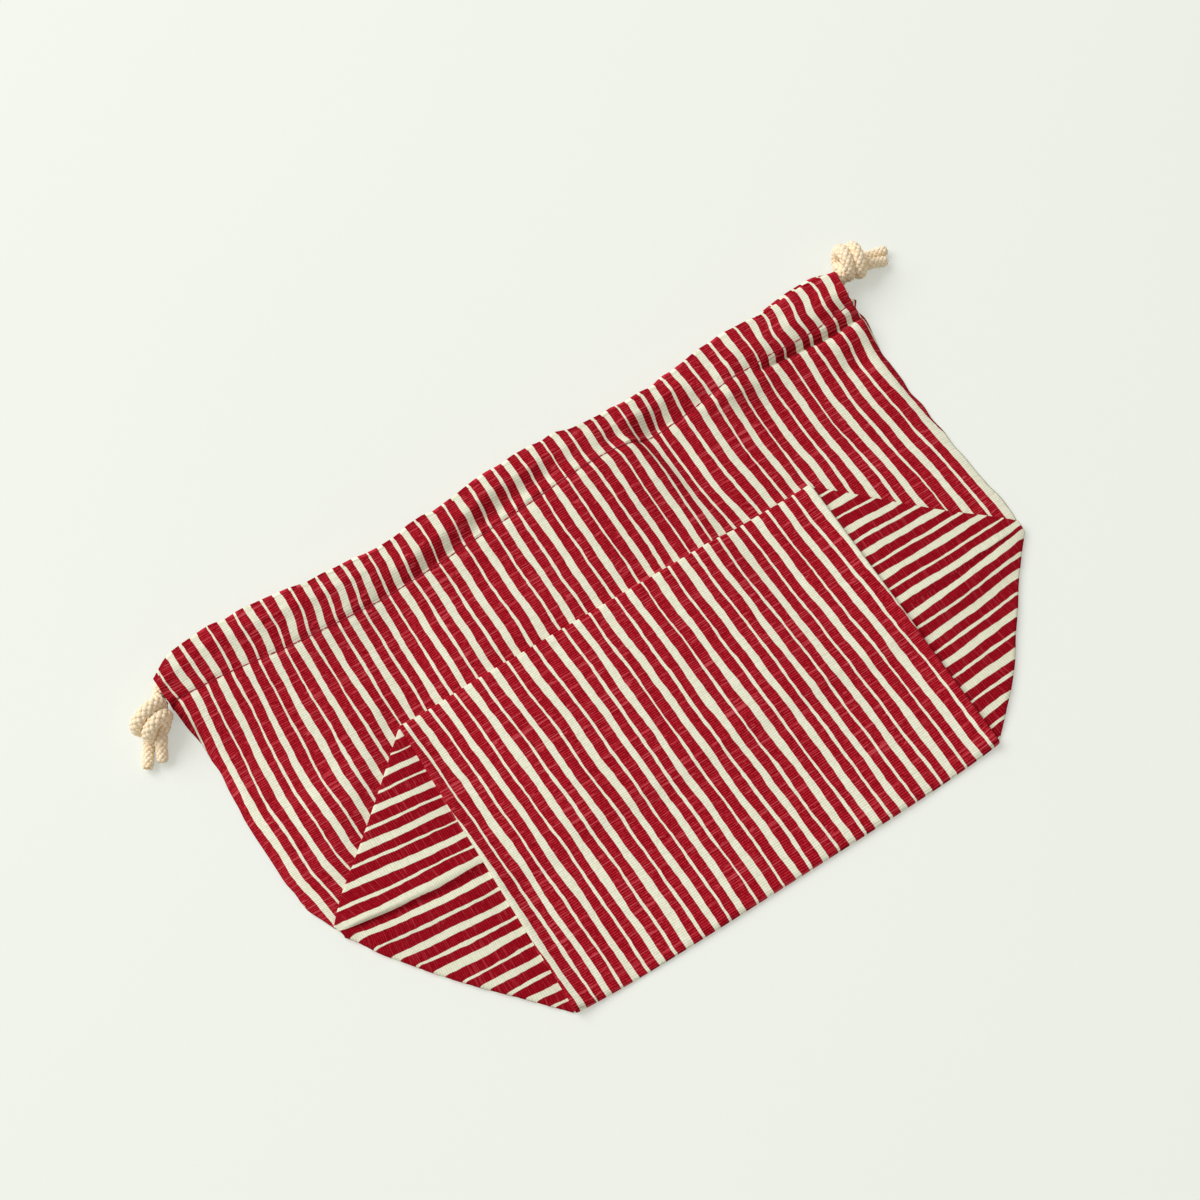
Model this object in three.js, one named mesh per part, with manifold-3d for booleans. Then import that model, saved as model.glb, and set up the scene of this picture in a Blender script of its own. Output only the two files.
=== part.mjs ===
// A drawstring lunch pouch with a block bottom, folded flat with its bottom turned up on the front.
// Millimetres, +X along the mouth, +Y from the bottom fold to the mouth, +Z up from the table.

import * as THREE from 'three';
import { mergeVertices } from 'three/addons/utils/BufferGeometryUtils.js';
import Module from 'manifold-3d';

const wasm = await Module();
wasm.setup();

// Cloth sizes
const WIDTH = 300; // side seam to side seam
const HEIGHT = 190; // bottom fold to mouth, as it lies
const GUSSET = 120; // depth of the block bottom
const CLOTH = 0.5; // thickness of the cloth
const LAYER_GAP = 0.3; // air between two folded layers
const CASING = 20; // mouth edge to casing stitch
const HEM = 5; // hem below the casing stitch
const SLIT = 26; // mouth edge to the top of the side seam
const SIDE_SEAM = 2; // width of the side seam
const CORNER_BLUNT = 4; // half length of the blunt edge at a folded corner
const CORNER_SEAM = 1.2; // width of the seam between the base and a corner triangle
const CORNER_SEAM_STEP = 0.6; // height of the base above the triangle at that seam
const SEAM_INSET = 0.6; // seams stop this far inside the cloth's side edges
const LANDING_SHARE = 0.15; // share of the flap's lower half that lies flat on the back panel

// Cord sizes
const CORD = 4; // diameter of a drawcord
const CORD_GAP = 0.3; // air around a cord in its casing
const CORD_SIDES = 10;
const TURN_ROOM = 7; // length of casing end left open on the inside for the other cord's turn
const TABLE_GAP = 0.3; // air under the knots and tails
const KNOT_SLACK = 0.1; // a knot's wraps lie this far outside its two inner strands
const WRAP_TURNS = 1.15; // turns that each cord end makes round its knot
const WRAP_SLANT = 3.4; // distance that a wrap travels along its knot
const TAIL_BEND = 0.25; // share of a tail's length where it bends down to the table

// How each cord lies outside its casing: the way out, the middle of the knot and the ends of the
// two tails, measured from the mouth's corner on that side, and the way that the knot points
const LEFT_LIE = {
  wayOut: [[-3.6, -7.6], [-7.4, -10.8]],
  knot: [-14, -22.2],
  pointing: [-0.72, -0.69],
  tails: [[-24.2, -34.8], [-18.4, -35.6]],
};
const RIGHT_LIE = {
  wayOut: [[2.6, -2.4], [4.2, -1.6]],
  knot: [7.6, 0.6],
  pointing: [0.96, 0.28],
  tails: [[25.4, -0.4], [22.6, -4.6]],
};

// Values worked out from the sizes
const BASE_HALF = (WIDTH - GUSSET) / 2;
const CREASE = GUSSET / 2; // height of the hidden crease above the bottom fold
const STITCH = HEIGHT - CASING;
const TUNNEL = CORD / 2 + CORD_GAP; // radius of a casing's round edge, inside the cloth
const TURN = TUNNEL + CLOTH / 2; // the same, at the middle of the cloth
const UPPER_LANE = HEIGHT - CLOTH - TUNNEL; // cord next to the mouth edge
const LOWER_LANE = UPPER_LANE - CORD - CORD_GAP; // cord next to the stitch
const BACK_TUNNEL = CLOTH + TUNNEL; // height of the back casing's cords
const FRONT_TUNNEL = BACK_TUNNEL + 2 * TURN + CLOTH + LAYER_GAP; // height of the front casing's cords
const CLIMB_START = GUSSET + 6; // above the flap, where the front panel starts to climb to the casing
const WRAP_RADIUS = CORD + KNOT_SLACK; // middle of the cord that wraps a knot
const HEART_RADIUS = WRAP_RADIUS + CORD / 6; // the packed middle of a knot
const KNOT_HEIGHT = TABLE_GAP + CORD / 2 + WRAP_RADIUS;
const TAIL_HEIGHT = TABLE_GAP + CORD / 2;

// Fineness of the facets
const FOLD_STEPS = 6;
const TURN_STEPS = 6;
const WRAP_STEPS = 16;
const WRAP_EASE = 3; // steps in which a wrap comes out of the heart of its knot
const ROUTE_STEPS = 2;
const TAIL_STEPS = 4;
const HEART_SIDES = 16;
const HEART_RINGS = 10;
const PANEL_STEP = 20; // about the longest facet of a panel
const MITRE_LIMIT = 0.5; // keeps the corners of a strip's outline short

// Middle height of a layer of cloth, counted from the back panel
const level = (n) => CLOTH / 2 + n * (CLOTH + LAYER_GAP);

// A closed solid from a geometry
function solid(geometry) {
  const bare = geometry.clone();
  bare.deleteAttribute('normal');
  bare.deleteAttribute('uv');
  const merged = mergeVertices(bare, 1e-4);
  return new wasm.Manifold(new wasm.Mesh({
    numProp: 3,
    vertProperties: new Float32Array(merged.attributes.position.array),
    triVerts: new Uint32Array(merged.index.array),
  }));
}

function geometryOf(shape) {
  const mesh = shape.getMesh();
  const geometry = new THREE.BufferGeometry();
  geometry.setAttribute('position', new THREE.BufferAttribute(mesh.vertProperties, 3));
  geometry.setIndex(new THREE.BufferAttribute(mesh.triVerts, 1));
  geometry.computeVertexNormals();
  return geometry;
}

// A fold of half a turn between two heights. side is 1 where it bulges towards the mouth, and
// edge is the outermost line of the fold.
function fold(edge, from, to, side) {
  const radius = Math.abs(to - from) / 2;
  const centre = edge - side * (radius + CLOTH / 2);
  const middle = (from + to) / 2;
  return Array.from({ length: FOLD_STEPS + 1 }, (_, i) => {
    const angle = -Math.PI / 2 + (Math.PI * i) / FOLD_STEPS;
    return new THREE.Vector2(
      centre + side * radius * Math.cos(angle),
      middle + Math.sign(to - from) * radius * Math.sin(angle),
    );
  });
}

// A line with extra points, so that its parts are no longer than they are where the flap is widest
function divided(line, widest) {
  return line.flatMap((point, i) => {
    if (i === 0) return [point];
    const parts = Math.ceil(widest[i].distanceTo(widest[i - 1]) / PANEL_STEP);
    return Array.from({ length: parts }, (_, k) => line[i - 1].clone().lerp(point, (k + 1) / parts));
  });
}

// The outline of a strip of cloth that follows a line of points
function strip(line) {
  const left = [];
  const right = [];
  line.forEach((point, i) => {
    const before = point.clone().sub(line[Math.max(i - 1, 0)]).normalize();
    const after = line[Math.min(i + 1, line.length - 1)].clone().sub(point).normalize();
    const along = before.add(after).normalize();
    const half = i > 0 && i < line.length - 1
      ? CLOTH / 2 / Math.max(along.dot(after), MITRE_LIMIT)
      : CLOTH / 2;
    const across = new THREE.Vector2(-along.y, along.x).multiplyScalar(half);
    left.push(point.clone().add(across));
    right.push(point.clone().sub(across));
  });
  const outline = left.concat(right.reverse());
  return THREE.ShapeUtils.isClockWise(outline) ? outline.reverse() : outline;
}

// The front casing lies on the back one, with its hem and inner layer under the cords. The line
// runs from the hem's edge, round the mouth and down to where the front panel meets the flap.
function frontCasingLine() {
  return [
    new THREE.Vector2(STITCH - HEM, level(2)),
    new THREE.Vector2(STITCH + 3 * CLOTH, level(2)),
    new THREE.Vector2(LOWER_LANE - TUNNEL - 2 * CLOTH, FRONT_TUNNEL - TURN),
    ...fold(HEIGHT, FRONT_TUNNEL - TURN, FRONT_TUNNEL + TURN, 1),
    new THREE.Vector2(LOWER_LANE - CORD / 2, FRONT_TUNNEL + TURN),
    new THREE.Vector2(STITCH - CLOTH, level(3)),
    new THREE.Vector2(STITCH - HEM, level(3)),
    new THREE.Vector2(CLIMB_START, level(1)),
  ];
}

// The back casing lies on the table, with its inner layer and hem on top of the cords
function backCasingLine() {
  return [
    ...fold(HEIGHT, BACK_TUNNEL - TURN, BACK_TUNNEL + TURN, 1),
    new THREE.Vector2(LOWER_LANE - TUNNEL, BACK_TUNNEL + TURN),
    new THREE.Vector2(STITCH + 5 * CLOTH, level(1)),
    new THREE.Vector2(STITCH - HEM, level(1)),
  ];
}

// The whole strip of cloth cut across the width: front casing, front panel, hidden crease,
// turned-up base, back panel and back casing. reach is the distance from the crease to the flap's
// edges, and flap is the flap's height.
function clothLine(reach, flap) {
  const bottom = CREASE - reach;
  const pastCrease = CREASE - 2 * CLOTH - LAYER_GAP;
  const landing = bottom + CLOTH + LAYER_GAP + LANDING_SHARE * reach;
  return [
    ...frontCasingLine(),
    ...fold(CREASE - CLOTH, level(1), level(2), -1),
    ...fold(CREASE + reach, level(2), flap, 1),
    new THREE.Vector2(pastCrease, flap),
    new THREE.Vector2(landing, level(1)),
    ...fold(bottom, level(1), level(0), -1),
    ...backCasingLine(),
  ];
}

// A solid through like outlines, each in a plane across X
function loft(columns) {
  const count = columns[0].outline.length;
  const positions = columns.flatMap(({ x, outline }) => outline.flatMap((p) => [x, p.x, p.y]));
  const index = [];
  for (let c = 0; c < columns.length - 1; c += 1) {
    for (let i = 0; i < count; i += 1) {
      const a = c * count + i;
      const b = c * count + ((i + 1) % count);
      index.push(a, b, b + count, a, b + count, a + count);
    }
  }
  const cap = (c, flip) => {
    THREE.ShapeUtils.triangulateShape(columns[c].outline, []).forEach(([i, j, k]) => {
      const at = c * count;
      index.push(...(flip ? [at + i, at + k, at + j] : [at + i, at + j, at + k]));
    });
  };
  cap(0, true);
  cap(columns.length - 1, false);
  const geometry = new THREE.BufferGeometry();
  geometry.setAttribute('position', new THREE.Float32BufferAttribute(positions, 3));
  geometry.setIndex(index);
  return geometry;
}

// An outline in the YZ plane, pushed along X from one place to another
function along(outline, from, to) {
  return loft([{ x: from, outline }, { x: to, outline }]);
}

// The strip folded up, with the flap's edges closing in towards each folded corner
function foldedStrip() {
  const column = (x) => {
    const outside = Math.max(0, Math.abs(x) - BASE_HALF);
    const reach = CREASE - (outside / (WIDTH / 2 - BASE_HALF)) * (CREASE - CORNER_BLUNT);
    const flap = level(3) + (outside > 0 ? 0 : CORNER_SEAM_STEP);
    return { x, outline: strip(divided(clothLine(reach, flap), widest)) };
  };
  const widest = clothLine(CREASE, level(3) + CORNER_SEAM_STEP);
  const evenly = (from, to) => {
    const parts = Math.ceil((to - from) / PANEL_STEP);
    return Array.from({ length: parts }, (_, k) => from + ((to - from) * k) / parts);
  };
  const seam = BASE_HALF + CORNER_SEAM;
  const places = [
    ...evenly(-WIDTH / 2, -seam), -seam, ...evenly(-BASE_HALF, BASE_HALF), BASE_HALF,
    ...evenly(seam, WIDTH / 2), WIDTH / 2,
  ];
  return solid(loft(places.map(column)));
}

// A side seam closes front to back from the folded corner up to the slit
function sideSeam(side) {
  const top = Math.min(HEIGHT - SLIT, STITCH - HEM - LAYER_GAP);
  const climbed = (top - CLIMB_START) / (STITCH - HEM - CLIMB_START);
  const outline = [
    new THREE.Vector2(CREASE, level(0)),
    new THREE.Vector2(top, level(0)),
    new THREE.Vector2(top, THREE.MathUtils.lerp(level(1), level(3), climbed)),
    new THREE.Vector2(CLIMB_START, level(1)),
    new THREE.Vector2(CREASE, level(1)),
  ];
  const outer = side * (WIDTH / 2 - SEAM_INSET);
  const inner = side * (WIDTH / 2 - SIDE_SEAM);
  return solid(along(outline, Math.min(outer, inner), Math.max(outer, inner)));
}

// A casing's stitch holds its hem to the panel
function casingStitch(low, high) {
  const stitch = new THREE.BoxGeometry(WIDTH - 2 * SEAM_INSET, CLOTH, high - low);
  stitch.translate(0, STITCH - HEM / 2, (low + high) / 2);
  return solid(stitch);
}

// Where the other cord turns from the front casing to the back one
function turnRoom(side) {
  const low = LOWER_LANE - TUNNEL;
  const high = HEIGHT + CLOTH;
  const room = new THREE.BoxGeometry(2 * TURN_ROOM, high - low, FRONT_TUNNEL - BACK_TUNNEL);
  room.translate((side * WIDTH) / 2, (low + high) / 2, (FRONT_TUNNEL + BACK_TUNNEL) / 2);
  return solid(room);
}

function pouchCloth() {
  let cloth = foldedStrip()
    .add(casingStitch(level(0), level(1)))
    .add(casingStitch(level(2), level(3)));
  [-1, 1].forEach((side) => {
    cloth = cloth.add(sideSeam(side)).subtract(turnRoom(side));
  });
  return cloth;
}

// A route that takes the same number of steps between each two of its points, so that bends with
// close points are finer than straight runs
class SteppedRoute extends THREE.CatmullRomCurve3 {
  getSpacedPoints(divisions) {
    return this.getPoints(divisions);
  }

  getTangentAt(t, target) {
    return this.getTangent(t, target);
  }
}

function cordAlong(points, stepsEach) {
  const section = new THREE.Shape();
  section.absarc(0, 0, CORD / 2, 0, 2 * Math.PI);
  const route = new SteppedRoute(points, false, 'centripetal');
  return solid(new THREE.ExtrudeGeometry(section, {
    steps: stepsEach * (points.length - 1),
    curveSegments: CORD_SIDES / 2, // an arc takes two sides for each segment
    extrudePath: route,
  }));
}

// A knot's middle and its two directions along the table
function knotFrame(side, lie) {
  const outward = new THREE.Vector3(...lie.pointing, 0).normalize();
  return {
    centre: fromCorner(side, lie.knot, KNOT_HEIGHT),
    outward,
    across: new THREE.Vector3(-outward.y, outward.x, 0),
  };
}

// A point measured from the mouth's corner on one side
function fromCorner(side, [x, y], height) {
  return new THREE.Vector3((side * WIDTH) / 2 + x, HEIGHT / 2 + y, height);
}

// One end of a cord wrapped round its knot. strand is 1 or -1 for the two ends side by side. The
// wrap starts and ends inside the heart of the knot.
function knotWrap({ centre, outward, across }, strand) {
  const up = new THREE.Vector3(0, 0, 1);
  const points = Array.from({ length: WRAP_STEPS + 1 }, (_, i) => {
    const share = i / WRAP_STEPS;
    const angle = -Math.PI / 2 + 2 * Math.PI * WRAP_TURNS * share;
    const stepsFromEnd = Math.min(i, WRAP_STEPS - i);
    const radius = WRAP_RADIUS * Math.min(1, (stepsFromEnd + WRAP_EASE / 2) / WRAP_EASE);
    return centre.clone()
      .addScaledVector(outward, (0.5 - share) * WRAP_SLANT + (strand * CORD) / 2)
      .addScaledVector(across, radius * Math.cos(angle))
      .addScaledVector(up, radius * Math.sin(angle));
  });
  return cordAlong(points, 1);
}

// The packed middle of a knot, inside its wraps
function knotHeart({ centre, outward }) {
  const heart = new THREE.SphereGeometry(HEART_RADIUS, HEART_SIDES, HEART_RINGS);
  heart.scale((WRAP_SLANT / 2 + CORD) / HEART_RADIUS, 1, 1);
  heart.rotateZ(Math.atan2(outward.y, outward.x));
  heart.translate(centre.x, centre.y, centre.z);
  return solid(heart);
}

// The loop of a drawcord: from the knot through the front casing, round a turn at the far end and
// back through the back casing to the knot
function cordLoop(side, lane, lie, { centre }) {
  const y = lane - HEIGHT / 2;
  const near = (side * WIDTH) / 2;
  const far = -near + side * TURN_ROOM;
  const turnRadius = (FRONT_TUNNEL - BACK_TUNNEL) / 2;
  const middle = (FRONT_TUNNEL + BACK_TUNNEL) / 2;
  const wayOut = (height) => lie.wayOut.map((point, i) => {
    const share = (i + 1) / (lie.wayOut.length + 1);
    return fromCorner(side, point, THREE.MathUtils.lerp(height, centre.z, share / 2));
  });
  // Two points at each end keep the long run in its casing straight
  const run = (height) => [near, near - side * CORD, far + 2 * side * CORD, far + side * CORD]
    .map((x) => new THREE.Vector3(x, y, height));
  const turn = Array.from({ length: TURN_STEPS + 1 }, (_, i) => {
    const angle = Math.PI / 2 - (Math.PI * i) / TURN_STEPS;
    return new THREE.Vector3(
      far - side * turnRadius * Math.cos(angle), y, middle + turnRadius * Math.sin(angle));
  });
  const inKnot = (height) => centre.clone().setZ(centre.z + height);
  return cordAlong([
    inKnot(CORD / 4), ...wayOut(FRONT_TUNNEL).reverse(), ...run(FRONT_TUNNEL), ...turn,
    ...run(BACK_TUNNEL).reverse(), ...wayOut(BACK_TUNNEL), inKnot(-CORD / 4),
  ], ROUTE_STEPS);
}

// A cord's tail, which drops from the knot to the table
function cordTail(side, point, { centre, outward }) {
  const end = fromCorner(side, point, TAIL_HEIGHT);
  const bend = centre.clone().addScaledVector(outward, WRAP_RADIUS + CORD / 2).lerp(end, TAIL_BEND);
  return cordAlong([centre, bend, end], TAIL_STEPS);
}

// A drawcord with both its ends wrapped into one knot and left as two tails
function drawcord(side, lane, lie) {
  const knot = knotFrame(side, lie);
  return cordLoop(side, lane, lie, knot)
    .add(knotHeart(knot))
    .add(knotWrap(knot, -1))
    .add(knotWrap(knot, 1))
    .add(cordTail(side, lie.tails[0], knot))
    .add(cordTail(side, lie.tails[1], knot));
}

function mesh(name, shape, color, roughness) {
  const material = new THREE.MeshStandardMaterial({ color, roughness, metalness: 0 });
  const piece = new THREE.Mesh(geometryOf(shape), material);
  piece.name = name;
  return piece;
}

const pouch = new THREE.Group();
const cloth = mesh('pouch_cloth', pouchCloth(), 0xa3172b, 0.9);
cloth.position.y = -HEIGHT / 2;
pouch.add(
  cloth,
  mesh('left_drawcord', drawcord(-1, LOWER_LANE, LEFT_LIE), 0xebd9b4, 0.95),
  mesh('right_drawcord', drawcord(1, UPPER_LANE, RIGHT_LIE), 0xebd9b4, 0.95),
);

export default pouch;
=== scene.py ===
"""A striped cotton lunch pouch with a block bottom, folded flat, and its two knotted drawcords."""

import math

import bpy
import numpy as np
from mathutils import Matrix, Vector


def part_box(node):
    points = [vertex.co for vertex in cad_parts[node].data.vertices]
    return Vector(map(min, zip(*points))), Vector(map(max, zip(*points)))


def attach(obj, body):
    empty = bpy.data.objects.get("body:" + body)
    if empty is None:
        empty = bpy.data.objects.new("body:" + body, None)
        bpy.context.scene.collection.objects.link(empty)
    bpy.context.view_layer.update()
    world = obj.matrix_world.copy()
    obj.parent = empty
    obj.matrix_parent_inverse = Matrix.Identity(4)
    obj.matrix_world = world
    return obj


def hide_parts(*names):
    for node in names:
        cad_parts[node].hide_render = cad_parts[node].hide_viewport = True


bl_info = {
    "name": "Folded Lunch Pouch",
    "version": (1, 0, 0),
    "blender": (4, 5, 0),
    "location": "View3D > Sidebar > Pouch",
    "description": "Makes a flat-folded drawstring pouch, its cords, its stitches and a plain stage",
    "category": "Object",
}

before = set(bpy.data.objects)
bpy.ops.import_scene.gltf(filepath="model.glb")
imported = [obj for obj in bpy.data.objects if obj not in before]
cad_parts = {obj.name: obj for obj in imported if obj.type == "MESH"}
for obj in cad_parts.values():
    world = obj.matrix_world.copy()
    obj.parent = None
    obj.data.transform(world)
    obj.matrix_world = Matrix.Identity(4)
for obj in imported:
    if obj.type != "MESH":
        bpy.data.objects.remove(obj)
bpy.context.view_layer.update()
CLOTH_LOW, CLOTH_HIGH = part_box("pouch_cloth")

MM = 0.001

# The cloth as it lies, with places measured across from its middle and up from its bottom fold
WIDTH = CLOTH_HIGH.x - CLOTH_LOW.x
HEIGHT = CLOTH_HIGH.y - CLOTH_LOW.y
HALF = WIDTH / 2
MIDDLE_Y = HEIGHT / 2
GUSSET = 120 * MM
BASE_HALF = HALF - GUSSET / 2
CREASE = GUSSET / 2
SIDE_LINE = HALF + 0.1 * MM  # the side seam's place in the cloth's own width

# Middle heights of the folded layers, from the back panel up to the turned-up flap
BACK, FRONT, UNDER_FLAP, FLAP = (0.25 * MM, 1.05 * MM, 1.85 * MM, 2.65 * MM)

# The casings along the mouth
HEM = 5 * MM
TURN = 2.6 * MM
BACK_TUNNEL = 2.85 * MM
FRONT_TUNNEL = 8.7 * MM

# Rows of points on the front and the back panel, which lie closer together near the stitch
PANEL_ROWS = 60
CLOSER_AT_STITCH = 1.35

# Soft shapes of the laid cloth, as (place, move) in millimetres
MOUTH_WAVE = ((-150, -8.0), (-143, -3.2), (-133, -1.4), (-112, -1.5), (-70, -6.0), (-50, -5.4), (-8, -1.1),
              (48, -3.7), (68, -3.2), (84, 0.0), (108, -0.3), (135, 1.1), (150, -0.6))
STITCH_WAVE = ((-155, 0.5), (-131, -0.4), (-102, -3.3), (-64, -5.0), (-34, -3.2), (-10, -1.7), (35, -0.2),
               (50, -1.6), (62, -1.5), (100, 1.8), (128, 1.8), (148, 4.3))
BACK_MOUTH_PEEK = ((-150, -0.3), (60, -0.3), (100, 0.0), (118, 1.6), (136, 3.1), (147, 4.0), (150, 3.2))
LEFT_EDGE_ACROSS = ((0, -0.2), (30, 1.2), (45, 2.6), (60, 5.2), (72, 0.3), (84, -1.6), (100, -2.5),
                    (125, -3.6), (148, -3.1), (158, -3.8), (172, -6.2), (190, -6.2))
LEFT_EDGE_UP = ((0, 0.3), (15, 1.0), (30, 2.3), (45, 4.6), (60, 6.8), (72, 5.0), (84, 3.2), (100, 1.2),
                (125, 0.0), (190, 0.0))
RIGHT_EDGE_ACROSS = ((0, 1.6), (12, 2.7), (36, -0.3), (50, -2.3), (60, -1.8), (67, -0.7), (80, -1.2),
                     (100, -2.0), (120, -2.6), (140, -3.0), (152, -2.6), (160, -0.9), (173, 0.6),
                     (178, -1.6), (182, -2.0), (187, -1.3), (190, -0.9))
RIGHT_EDGE_UP = ((0, 0.5), (36, 1.8), (60, 3.4), (80, 1.5), (110, 0.0), (190, 0.0))
BOTTOM_BULGE = 2.5 * MM

# Soft bumps and hollows of the front panel: height, place and reach across, place and reach up, in
# millimetres
PANEL_BUMPS = (
    (0.9, 112, 22, 140, 26),
    (1.2, -112, 26, 135, 30),
    (-1.6, 138, 8, 154, 6),
    (1.6, 139, 11, 163, 5),
    (-0.8, -143, 10, 143, 10),
    (2.0, -128, 17, 106, 16),
    (0.8, 128, 17, 106, 16),
)

# How far the laid cloth has moved across from its own stripes, as (place, move) in millimetres
CASING_GIVE = ((-157, 2.4), (-136, 3.2), (-116, 2.8), (-93, 1.5), (-62, -1.3), (-4, 0.2), (40, -1.9),
               (62, -3.6), (97, -1.2), (146, 1.7))
PANEL_GIVE = ((-154, 2.3), (-95, -0.9), (-62, -2.3), (-4, -0.5), (31, -0.2), (44, -0.9), (57, -4.4),
              (72, -2.9), (95, -2.5), (144, 1.2))
PANEL_LEAN = 0.07  # at the left side only
LEFT_SIDE_GIVE = ((66, 5.0), (80, 3.5), (90, 1.3), (100, 0.9), (112, -0.1), (135, -0.8), (155, -0.2),
                  (170, 0.0))
RIGHT_SIDE_GIVE = ((62, 2.2), (85, 1.5), (100, 0.8), (122, -0.5), (142, -0.8), (160, 0.0))
FLAP_GIVE = ((-90, 0.7), (-60, -1.5), (-36, -1.1), (0, -0.8), (33, 0.2), (54, -0.1), (84, 0.5), (90, 1.2))
FLAP_LEAN = 0.02
# The same for the upper halves of the corner triangles: a move and a lean
LEFT_CORNER_GIVE = (0.0, 0.11)
RIGHT_CORNER_GIVE = (-2.2 * MM, -0.055)

# Drawcords
CORD = 4 * MM
UPPER_LANE = -3.3 * MM
LOWER_LANE = -7.1 * MM
TURN_ROOM = 7 * MM
RUN_STOPS = 16
TURN_STOPS = 7
ROUTE_STEP = 0.35 * MM
NEAR_END = 12 * MM  # from the mouth's corner to where a cord's straight run starts
BRAID_START = 4 * MM  # how far into the casing the braid reaches
WRAP_RADIUS = 5.1 * MM
WRAP_TURNS = 1.15
WRAP_STEPS = 16
WRAP_GAP = 0.6 * CORD
WRAP_TRAVEL = 0.7 * CORD
TAIL_HEIGHT = 2.45 * MM
TAIL_START = 5.2 * MM
TAIL_APART = 0.9 * MM
TAIL_DROP = 3.4 * MM
TAIL_STEP = 1.1 * MM
KNOT_HEIGHT = 7.9 * MM
KNOT_REACH = 10.5 * MM

# The braid's make-up, as shares of the cord's radius
LOOSE_SIZE, KNOT_SWELL = 1.03, 0.22
STRAND_MIDDLE, STRAND_WAVE = 0.7, 0.15
STRAND_THICK, STRAND_WIDE = 0.28, 0.42
CORE_SHARE, PLAIN_SHARE = 0.68, 0.92

# Knots: the way out of the casing, the middle of the knot and the ends of the tails, in
# millimetres from the mouth's corner on that side, the way that the knot's wraps follow on, and
# the share by which one strand's wraps are larger and the other's smaller
LEFT_LIE = {
    "way_out": ((-3.8, -10.0), (-7.8, -14.0)),
    "knot": (-14.0, -22.2),
    "wraps": (-0.22, 0.975),
    "bulge": 0.14,
    "tails": ((-24.2, -34.8), (-18.4, -35.6)),
}
RIGHT_LIE = {
    "way_out": ((2.6, -2.4), (4.2, -1.6)),
    "knot": (7.6, 0.6),
    "wraps": (0.956, -0.293),
    "bulge": 0.0,
    "tails": ((25.4, -0.4), (22.6, -4.6)),
}

# The table, the window and the light of the room, with sizes and places in metres
TABLE_HALF = 4.0
WINDOW_PLACE = (-1.5, 2.3, 2.75)
WINDOW_WIDTH, WINDOW_HEIGHT = 3.4, 2.6
WINDOW_COLOUR = (0.99, 1.0, 1.02)
ROOM_COLOUR = (1.0, 0.97, 0.92)


def soft(share):
    """0 to 1 with soft ends."""
    share = np.clip(share, 0.0, 1.0)
    return share * share * (3.0 - 2.0 * share)


def bell(distance, reach):
    """1 at the middle, falling away softly over a reach."""
    return np.exp(-((distance / reach) ** 2))


def soft_curve(places, values, at):
    """A soft curve through values at given places, held at both ends."""
    slope = np.gradient(values, places)
    at = np.clip(at, places[0], places[-1])
    i = np.clip(np.searchsorted(places, at) - 1, 0, len(places) - 2)
    step = places[i + 1] - places[i]
    t = (at - places[i]) / step
    return (
        values[i] * (1 + 2 * t) * (1 - t) ** 2
        + slope[i] * step * t * (1 - t) ** 2
        + values[i + 1] * t**2 * (3 - 2 * t)
        + slope[i + 1] * step * t**2 * (t - 1)
    )


def through(points, at):
    """A soft curve through a few points in millimetres, read at places in metres."""
    places, moves = np.array(points, float).T * MM
    return soft_curve(places, moves, at)


def uneven(x, y, size, seed):
    """Soft unevenness from -1 to 1, with lumps of about the given size."""
    lattice = np.random.default_rng(seed).uniform(-1, 1, (64, 64))
    u, v = np.broadcast_arrays(x / size + 32.0, y / size + 32.0)
    i, j = np.floor(u).astype(int), np.floor(v).astype(int)
    a, b = soft(u - i), soft(v - j)
    i, j = i % 64, j % 64
    k, m = (i + 1) % 64, (j + 1) % 64
    low = lattice[i, j] * (1 - a) + lattice[k, j] * a
    high = lattice[i, m] * (1 - a) + lattice[k, m] * a
    return low * (1 - b) + high * b


def show(thing):
    """Puts an object into the scene."""
    bpy.context.scene.collection.objects.link(thing)


def new_object(name, verts, faces, material):
    """A smooth mesh object from plain lists, with its place in its mesh."""
    mesh = bpy.data.meshes.new(name)
    mesh.from_pydata([tuple(v) for v in verts], [], [tuple(f) for f in faces])
    mesh.materials.append(material)
    mesh.shade_smooth()
    piece = bpy.data.objects.new(name, mesh)
    show(piece)
    return piece


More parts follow.
